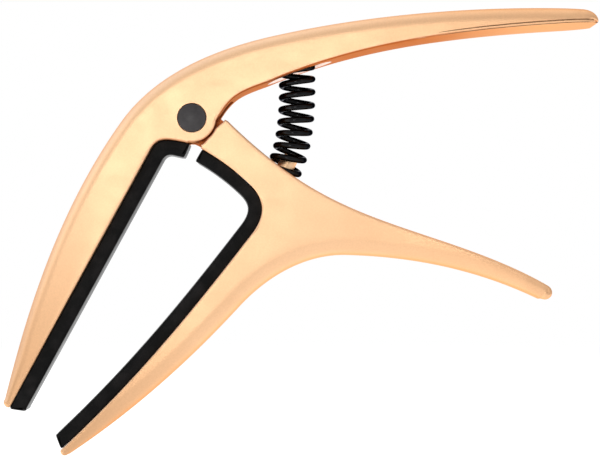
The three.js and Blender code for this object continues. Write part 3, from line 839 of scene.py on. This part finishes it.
def satinAnodising():
    s = anodiseLook
    material, tree, shader, place = newMaterial("satinAnodising", Metallic=1.0, IOR=1.5,
                                                Specular_Tint=(1.0, 0.60, 0.36, 1))
    centred, along, flat = aboutPin(tree, place)
    geometry = node(tree, "NewGeometry").outputs
    normal = node(tree, "SeparateXYZ", {0: geometry["Normal"]}).outputs
    away = node(tree, "VectorMath", {0: place, 1: tuple(pin)}, operation="DISTANCE").outputs["Value"]
    # painted highlight round the hinge fading into painted shade at the far ends, with a random cloudy tone
    # on top
    far = ranged(tree, away, s["nearHinge"], s["farFromHinge"], 0.0, 1.0, "SMOOTHSTEP")
    cloud = noise(tree, place, s["cloud"], 3.0, 0.55)
    far = maths(tree, "ADD", far, ranged(tree, cloud, 0.3, 0.7, -0.06, 0.06))
    colour = mixed(tree, far, s["pale"], s["peach"])
    # painted shade under the upper handle: faces that point down, sit low and lie near the pin take the dark
    # colour
    under = ranged(tree, normal["Z"], *s["deepNormal"], 0.0, 1.0, "SMOOTHSTEP")
    under = maths(tree, "MULTIPLY", under, ranged(tree, along["Z"], *s["deepHeight"], 0.0, 1.0))
    under = maths(tree, "MULTIPLY", under, ranged(tree, away, *s["deepWithin"], 1.0, 0.0, "SMOOTHSTEP"))
    colour = mixed(tree, under, colour, s["deep"])
    # painted shade in the hinge's slot and in the narrow gap beside the hub
    inside = maths(tree, "ABSOLUTE", along["Y"], 0.0)
    facing = maths(tree, "ABSOLUTE", normal["Y"], 0.0)
    slot = maths(tree, "MULTIPLY", ranged(tree, inside, *s["slotDepth"], 1.0, 0.0),
                 ranged(tree, flat, *s["slotReach"], 1.0, 0.0))
    gap = maths(tree, "MULTIPLY", ranged(tree, facing, *s["gapNormal"], s["gapShare"], 0.0),
                ranged(tree, flat, *s["gapReach"], 1.0, 0.0))
    colour = mixed(tree, maths(tree, "MAXIMUM", slot, gap), colour, s["slot"])
    # painted shade down the jaws, darker towards their ends
    down = node(tree, "VectorMath", {0: centred, 1: s["jawWay"]}, operation="DOT_PRODUCT").outputs["Value"]
    down = ranged(tree, down, *s["jawRange"], 0.0, 1.0, "SMOOTHSTEP")
    colour = mixed(tree, down, colour, s["jawShade"])
    # painted highlight: faces that point up and to the left, on the arm and hinge, take a lighter, paler
    # colour
    upward = node(tree, "VectorMath", {0: geometry["Normal"], 1: s["highlightWay"]},
                  operation="DOT_PRODUCT").outputs["Value"]
    litBack = ranged(tree, upward, *s["highlightNormal"], 0.0, s["highlightShare"], "SMOOTHSTEP")
    litBack = maths(tree, "MULTIPLY", litBack, ranged(tree, along["X"], *s["highlightAcross"], 1.0, 0.0))
    colour = mixed(tree, litBack, colour, s["backHighlight"])
    rub = ranged(tree, geometry["Pointiness"], 0.52, 0.60, 0.0, 0.35)
    patches = ranged(tree, noise(tree, place, 900.0, 4.0, 0.6), 0.4, 0.65, 0.2, 1.0)
    colour = mixed(tree, maths(tree, "MULTIPLY", rub, patches), colour, s["worn"])
    speck = ranged(tree, noise(tree, place, 2600.0, 2.0, 0.6), 0.35, 0.7, 0.97, 1.03)
    speck = node(tree, "CombineColor", {0: speck, 1: speck, 2: speck}).outputs[0]
    drive(tree, shader, "Base Color", mixed(tree, 1.0, colour, speck, "MULTIPLY"))
    smear = noise(tree, place, 160.0, 4.0, 0.6, (1.0, 1.0, 1.6))
    drive(tree, shader, "Roughness", ranged(tree, smear, 0.3, 0.7, *s["rough"]))
    grain = noise(tree, place, s["grain"], 2.0, 0.6)
    bumps(tree, shader, (grain, 0.25, 0.00002), (cloud, 0.03, 0.00005))
    return material


# inside of the spring pocket: painted shade, a dark colour standing for the shade in the recess, with fine
# cutter rings
pocketShadeLook = dict(dark=(0.050, 0.032, 0.024, 1), light=(0.11, 0.075, 0.055, 1), rough=(0.45, 0.6),
                  pitch=0.00022)


def pocketShade():
    s = pocketShadeLook
    material, tree, shader, place = newMaterial("pocketShade", Metallic=0.9)
    clouded(tree, shader, place, 700.0, s["dark"], s["light"], s["rough"])
    height = node(tree, "SeparateXYZ", {0: place}).outputs["Z"]
    ring = maths(tree, "SINE", maths(tree, "MULTIPLY", height, 2 * math.pi / s["pitch"]), 0.0)
    bumps(tree, shader, (ring, 0.25, 0.00001), (noise(tree, place, 3000.0, 2.0, 0.6), 0.15, 0.00001))
    return material


# the pocket's chamfer: a painted highlight, a light colour standing for the glints on the rim, with fine
# cutter marks
rimHighlightLook = dict(bright=(0.86, 0.67, 0.59, 1), dull=(0.76, 0.56, 0.48, 1), rough=(0.30, 0.42))


def rimHighlight():
    s = rimHighlightLook
    material, tree, shader, place = newMaterial("rimHighlight", Metallic=1.0)
    clouded(tree, shader, place, 1200.0, s["bright"], s["dull"], s["rough"])
    bumps(tree, shader, (noise(tree, place, 2400.0, 2.0, 0.6, (0.15, 1.0, 1.0)), 0.2, 0.00001))
    return material


# painted shade in the scored lines along the handle's edges: a dark colour standing for the shadow in the
# crease
creaseShadeLook = dict(dark=(0.22, 0.10, 0.045, 1), light=(0.38, 0.19, 0.09, 1), rough=(0.42, 0.55))


def creaseShade():
    s = creaseShadeLook
    material, tree, shader, place = newMaterial("creaseShade", Metallic=0.9)
    clouded(tree, shader, place, 900.0, s["dark"], s["light"], s["rough"])
    bumps(tree, shader, (noise(tree, place, 3000.0, 2.0, 0.6), 0.15, 0.00001))
    return material


# the pocket's walls and floor, all faces inside its outline and above the chamfer, get slot 1, the pocket's
# painted shade, and the chamfer itself slot 2, its painted highlight; the scored lines, all faces within
# their reach of the cutter's path, get slot 3, their painted shade
def finishCuts(lever, looks):
    s, e = pocketSizes, edgeLine
    mesh = lever.data
    for look in looks:
        mesh.materials.append(look)
    centres = np.empty(len(mesh.polygons) * 3)
    mesh.polygons.foreach_get("center", centres)
    at = (centres.reshape(-1, 3) - pin) / mm
    x, y, z = at.T
    under = underside()
    outline = np.hypot(np.maximum(np.abs(x - s["middle"]) - s["reach"], 0), y)
    above = z - np.interp(x, under[:, 0], under[:, 1])
    # faces that take the pocket's painted shade
    deep = (outline < s["radius"] + s["slack"]) & (above > s["wallFrom"] * s["cut"])
    deep &= z < s["floor"] + s["slack"]
    # faces that take the rim's painted highlight
    rim = (outline < s["radius"] + s["chamfer"] + s["slack"]) & (above > s["rimFrom"] * s["cut"])
    rim &= ~deep & (z < s["floor"])
    path = np.concatenate([edgePath(line, side, 500)[0] for side in (-1, 1) for line in e["lines"]])
    low, high = path.min(0) - 1, path.max(0) + 1
    near = np.flatnonzero((x > low[0]) & (z < high[2]) & (z > low[2]))
    gap = np.sqrt(((at[near][:, None] - path[None]) ** 2).sum(2).min(1))
    # faces that take the scored lines' painted shade
    scored = np.zeros(len(x), bool)
    scored[near] = gap < e["reach"] * e["radius"]
    mesh.polygons.foreach_set("material_index", (deep + 2 * rim + 3 * scored).astype(np.int32))


# matt rubber: a fine moulded texture and faint dust, smoother on the faces that press on the guitar
rubberLook = dict(black=(0.003, 0.003, 0.003, 1), dusty=(0.011, 0.010, 0.010, 1), grain=2600.0,
                  rough=(0.40, 0.55), polish=0.5)


def mouldedRubber():
    s = rubberLook
    material, tree, shader, place = newMaterial("mouldedRubber", Metallic=0.0, Specular_IOR_Level=0.08)
    dust = ranged(tree, noise(tree, place, 260.0, 5.0, 0.6), 0.42, 0.72, 0.0, 1.0)
    drive(tree, shader, "Base Color", mixed(tree, dust, s["black"], s["dusty"]))
    rough = patchyRough(tree, place, 380.0, s["rough"])
    across = node(tree, "SeparateXYZ", {0: node(tree, "NewGeometry").outputs["Normal"]}).outputs["Y"]
    matt = ranged(tree, maths(tree, "ABSOLUTE", across, 0.0), 0.05, 0.6, s["polish"], 1.0)
    drive(tree, shader, "Roughness", maths(tree, "MULTIPLY", rough, matt))
    pebble = node(tree, "TexVoronoi", {"Vector": place, "Scale": s["grain"]}, feature="SMOOTH_F1").outputs[0]
    soft = noise(tree, place, 500.0, 3.0, 0.5)
    bumps(tree, shader, (pebble, 0.35, 0.00004), (soft, 0.2, 0.00008))
    return material


# black moulded plastic with a fine spark-eroded texture
capLook = dict(dark=(0.018, 0.0155, 0.0165, 1), light=(0.031, 0.027, 0.0285, 1), rough=(0.36, 0.46))


def capPlastic():
    s = capLook
    material, tree, shader, place = newMaterial("capPlastic", Metallic=0.0, IOR=1.5)
    clouded(tree, shader, place, 700.0, s["dark"], s["light"])
    drive(tree, shader, "Roughness", patchyRough(tree, place, 500.0, s["rough"]))
    bumps(tree, shader, (noise(tree, place, 4200.0, 2.0, 0.6), 0.3, 0.00003))
    return material


# spring wire blacked and oiled: glossy, with faint draw lines and a few thin spots in the black
springLook = dict(black=(0.016, 0.016, 0.017, 1), thin=(0.040, 0.039, 0.038, 1), rough=(0.13, 0.21))


def blackedSpringSteel():
    s = springLook
    material, tree, shader, place = newMaterial("blackedSpringSteel", Metallic=1.0,
                                                Specular_Tint=(0.34, 0.34, 0.36, 1))
    thin = ranged(tree, noise(tree, place, 800.0, 5.0, 0.65), 0.55, 0.75, 0.0, 0.8)
    drive(tree, shader, "Base Color", mixed(tree, thin, s["black"], s["thin"]))
    drive(tree, shader, "Roughness", patchyRough(tree, place, 600.0, s["rough"]))
    bumps(tree, shader, (noise(tree, place, 1800.0, 3.0, 0.6), 0.2, 0.00003))
    return material


# turned metal: rings sin(2 pi (distance from the pin's line + depth) / pitch), under a little tarnish
def turnedMetal(name, bright, tarnish, rough, pitch):
    material, tree, shader, place = newMaterial(name, Metallic=1.0)
    centred, along, radius = aboutPin(tree, place)
    run = maths(tree, "ADD", radius, along["Y"])
    ring = maths(tree, "SINE", maths(tree, "MULTIPLY", run, 2 * math.pi / pitch), 0.0)
    clouded(tree, shader, place, 900.0, bright, tarnish)
    drive(tree, shader, "Roughness", ranged(tree, ring, -1.0, 1.0, *rough))
    bumps(tree, shader, (ring, 0.2, 0.00001), (noise(tree, place, 3000.0, 2.0, 0.6), 0.1, 0.00001))
    return material


# off-white nylon, a little translucent
nylonLook = dict(pale=(0.72, 0.70, 0.64, 1), dull=(0.62, 0.59, 0.52, 1), rough=(0.42, 0.58))


def washerNylon():
    s = nylonLook
    material, tree, shader, place = newMaterial("washerNylon", Metallic=0.0, Subsurface_Weight=0.15,
                                                Subsurface_Scale=0.001)
    clouded(tree, shader, place, 500.0, s["pale"], s["dull"], s["rough"])
    bumps(tree, shader, (noise(tree, place, 2500.0, 2.0, 0.6), 0.25, 0.00002))
    return material


aluminium = satinAnodising()
# painted shade inside the pocket, a painted highlight on its rim, and painted shade in the scored lines
cutLooks = [pocketShade(), rimHighlight(), creaseShade()]
rubber = mouldedRubber()
capBlack = capPlastic()
springBlack = blackedSpringSteel()
steel = turnedMetal("groundPinSteel", (0.62, 0.62, 0.64, 1), (0.48, 0.47, 0.46, 1), (0.18, 0.3), 0.00012)
bronze = turnedMetal("bushBronze", (0.60, 0.37, 0.16, 1), (0.40, 0.23, 0.10, 1), (0.28, 0.42), 0.00018)
nylon = washerNylon()
print("materials", len(bpy.data.materials))

fretSide, neckSide = "fret_side", "neck_side"
pieceTable = [
    (upper, "upper_lever", aluminium, "anodised_aluminium", fretSide),
    (lower, "lower_lever", aluminium, "anodised_aluminium", neckSide),
    (fret, "fret_pad", rubber, "pad_rubber", fretSide),
    (neck, "neck_pad", rubber, "pad_rubber", neckSide),
    (hinge["pin"], "hinge_pin", steel, "pin_steel", fretSide),
    (hinge["bush"], "hinge_bush", bronze, "bush_bronze", neckSide),
    (hinge["washerFront"], "thrust_washer_front", nylon, "washer_nylon", fretSide),
    (hinge["washerRear"], "thrust_washer_rear", nylon, "washer_nylon", fretSide),
    (hinge["capFront"], "pin_cap_front", capBlack, "cap_plastic", fretSide),
    (hinge["capRear"], "pin_cap_rear", capBlack, "cap_plastic", fretSide),
    (spring, "return_spring", springBlack, "spring_steel", None),
]
for piece, cadNode, material, finish, body in pieceTable:
    piece.data.materials.clear()
    piece.data.materials.append(material)
    if piece is upper:
        finishCuts(piece, cutLooks)
    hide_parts(cadNode)
    if body is not None:
        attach(piece, body)


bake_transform(spring)
print("pieces on their bodies")


# stage: a plain pale floor that fades into the white room, and soft lamps

stageSizes = dict(floorDrop=0.006, floorRadius=1.6, floorRings=9, floorSides=96, fadeFrom=0.12,
                  fadeTo=0.6, glow=0.48, grey=(0.9, 0.9, 0.9, 1), room=(1.0, 1.0, 1.0, 1))
lampTable = [
    # name, place, aim, size in metres, watts, colour
    ("hingeLamp", (-0.045, -0.46, 0.058), (-0.002, 0, 0.035), 0.12, 0.25, (1.0, 0.98, 0.95)),
    ("topLamp", (0.05, 0.05, 0.55), (0.03, 0, 0.0), 0.5, 0.12, (1.0, 1.0, 1.0)),
    ("leftLamp", (-0.50, -0.22, 0.22), (0.0, 0, 0.02), 0.40, 0.22, (1.0, 0.98, 0.96)),
    ("fillLamp", (0.45, -0.45, 0.10), (0.03, 0, 0.0), 0.5, 0.2, (1.0, 0.97, 0.94)),
]


# turns a lamp at its target: yaw is atan2(dy, dx) less a quarter turn, tilt atan2(dz, run) plus one
def aimed(thing, place, target):
    d = np.array(target, float) - np.array(place, float)
    thing.location = place
    yaw = math.atan2(d[1], d[0]) - math.pi / 2
    thing.rotation_euler = (math.atan2(d[2], math.hypot(d[0], d[1])) + math.pi / 2, 0, yaw)


def addLamp(name, place, target, size, watts, colour):
    data = bpy.data.lights.new(name, "AREA")
    data.shape = "DISK"
    data.size = size
    data.energy = watts
    data.color = colour
    lamp = placed(name, data)
    aimed(lamp, place, target)
    lamp.visible_camera = False


# flat disc of rings about the spot under the object, fading into the room with the distance from it
def addFloor():
    s = stageSizes
    rows, sides = s["floorRings"], s["floorSides"]
    low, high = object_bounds()
    centre = ((low[0] + high[0]) / 2, (low[1] + high[1]) / 2)
    r = np.linspace(0, s["floorRadius"], rows)[:, None]
    a = np.linspace(0, 2 * math.pi, sides, endpoint=False)[None]
    z = np.full((rows, sides), low[2] - s["floorDrop"])
    verts = np.stack([centre[0] + r * np.cos(a), centre[1] + r * np.sin(a), z], -1)
    mesh = bpy.data.meshes.new("floor")
    mesh.from_pydata(verts.reshape(-1, 3).tolist(), [], gridFaces(rows, sides, True)[:, ::-1].tolist())
    floor = placed("floor", mesh)
    floor.visible_glossy = False
    material, tree, shader, place = newMaterial("paleFloor", Roughness=0.9, Base_Color=s["grey"],
                                                Emission_Color=s["room"], Emission_Strength=s["glow"])
    flat = node(tree, "VectorMath", {0: place, 1: (*centre, 0)}, operation="SUBTRACT").outputs[0]
    flat = node(tree, "VectorMath", {0: flat, 1: (1, 1, 0)}, operation="MULTIPLY").outputs[0]
    away = node(tree, "VectorMath", {0: flat}, operation="LENGTH").outputs["Value"]
    fade = ranged(tree, away, s["fadeFrom"], s["fadeTo"], 0.0, 1.0, "SMOOTHSTEP")
    glow = node(tree, "Emission", {"Color": s["room"], "Strength": 1.0}).outputs[0]
    joined = node(tree, "MixShader", {0: fade, 1: shader.outputs[0], 2: glow}).outputs[0]
    drive(tree, tree.nodes["Material Output"], "Surface", joined)
    mesh.materials.append(material)


# white room: pure white to look at, while what it lights is brighter above, to the left and from below
roomLook = dict(front=0.48, behind=0.62, above=0.88, below=2.35, left=0.35)


def addRoom():
    s = roomLook
    world = bpy.data.worlds.new("room")
    bpy.context.scene.world = world
    world.use_nodes = True
    tree = world.node_tree
    tree.nodes.clear()
    way = node(tree, "SeparateXYZ", {0: node(tree, "TexCoord").outputs["Generated"]})
    level = ranged(tree, way.outputs["Y"], -0.3, 0.8, s["front"], s["behind"], "SMOOTHSTEP")
    high = ranged(tree, way.outputs["Z"], 0.0, 0.9, 0.0, s["above"] - s["front"])
    low = ranged(tree, way.outputs["Z"], -0.35, 0.02, s["below"], 1.0, "SMOOTHSTEP")
    level = maths(tree, "ADD", level, ranged(tree, way.outputs["X"], -0.25, -0.9, 0.0, s["left"]))
    power = maths(tree, "MULTIPLY", maths(tree, "ADD", level, high), low)
    lit = node(tree, "Background", {"Color": (1, 1, 1, 1), "Strength": power}).outputs[0]
    seen = node(tree, "Background", {"Color": (1, 1, 1, 1), "Strength": 1.0}).outputs[0]
    direct = node(tree, "LightPath").outputs["Is Camera Ray"]
    joined = node(tree, "MixShader", {0: direct, 1: lit, 2: seen}).outputs[0]
    node(tree, "OutputWorld", {"Surface": joined})


addFloor()
addRoom()
for row in lampTable:
    addLamp(*row)

cameraLook = dict(place=(0.04165, -0.480, 0.01116), lens=141.9, sensor=36.0, nearest=0.01)
cameraData = bpy.data.cameras.new("camera")
cameraData.lens = cameraLook["lens"]
cameraData.sensor_width = cameraLook["sensor"]
cameraData.clip_start = cameraLook["nearest"]
camera = placed("camera", cameraData)
camera.location = cameraLook["place"]
camera.rotation_euler = (math.pi / 2, 0, 0)
bpy.context.scene.camera = camera
bpy.context.scene.view_settings.view_transform = "Standard"
print("stage ready")
